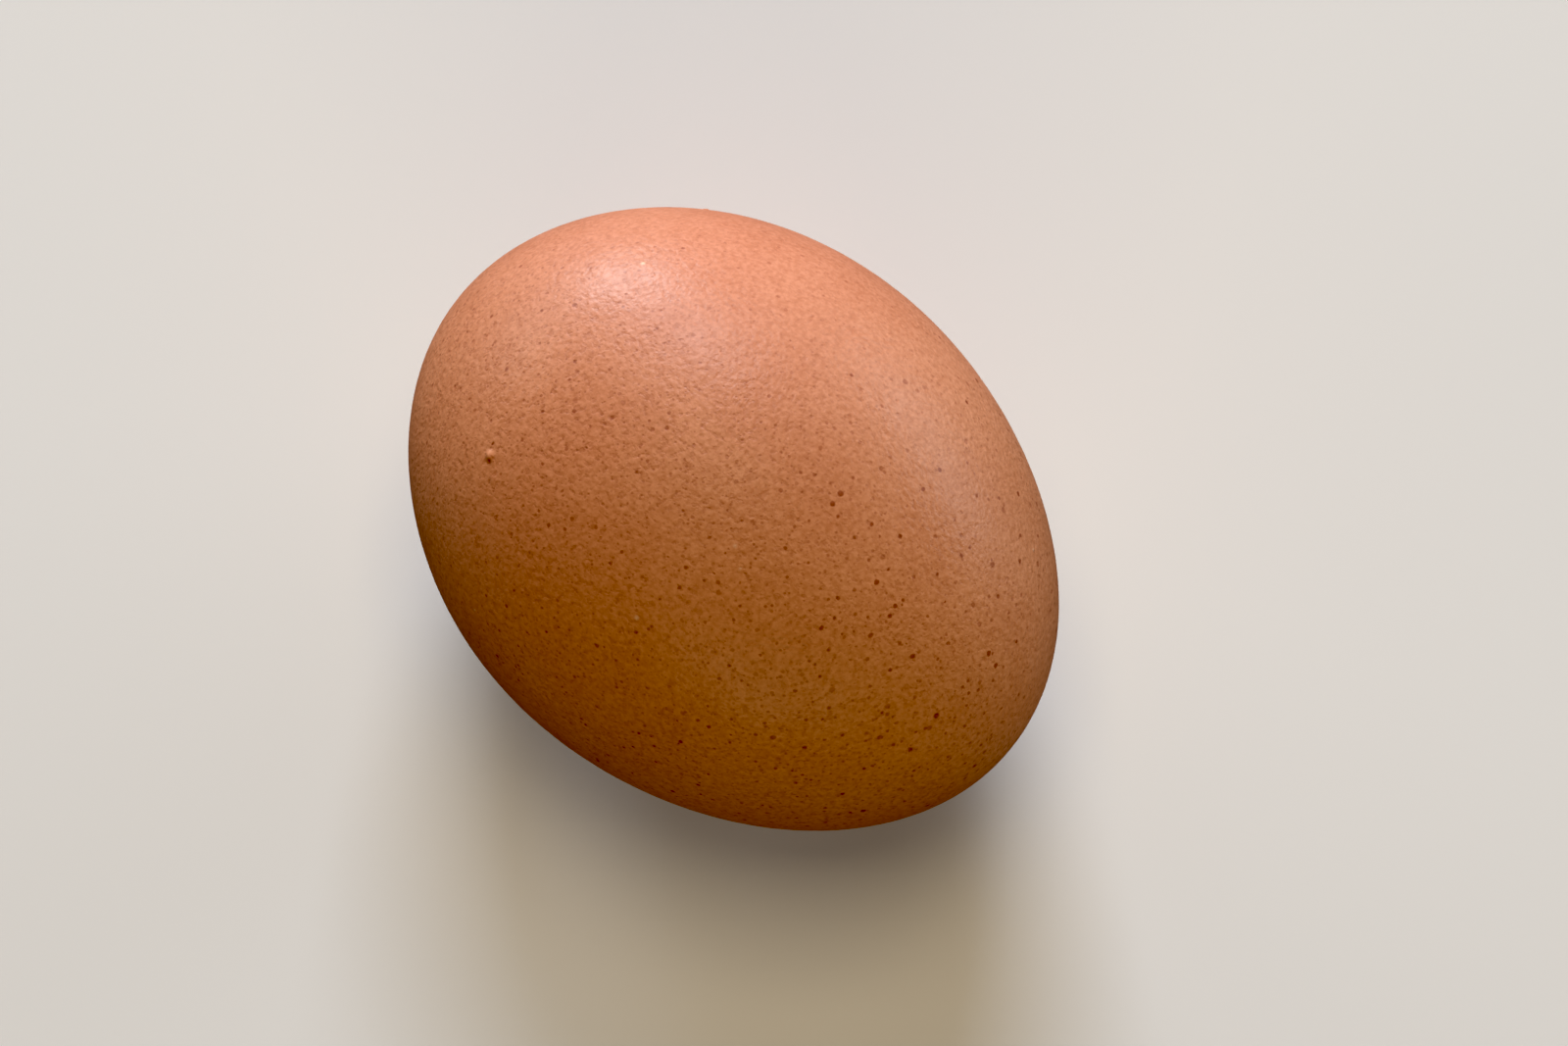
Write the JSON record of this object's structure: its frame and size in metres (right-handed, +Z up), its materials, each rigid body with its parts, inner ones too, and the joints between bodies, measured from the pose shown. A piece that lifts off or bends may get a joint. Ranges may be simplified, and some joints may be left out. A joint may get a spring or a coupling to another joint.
{
  "type": "egg",
  "caption": "Whole brown hen's egg in its speckled shell, blunt at one end and narrower at the other, lying on its side on a small flat resting spot.",
  "frame": {"origin": "middle of the small flat spot on the underside, straight below the egg's centre of weight", "axes": "+Z up; +X along the egg's long axis, from the blunt end to the pointed end"},
  "size_m": [0.0565, 0.0446, 0.0445],
  "materials": {
    "eggshell": "matte to satin brown shell, finely grained, with dark brown speckles gathered on the pointed end"
  },
  "bodies": {
    "root": {"egg": "eggshell"}
  },
  "joints": []
}
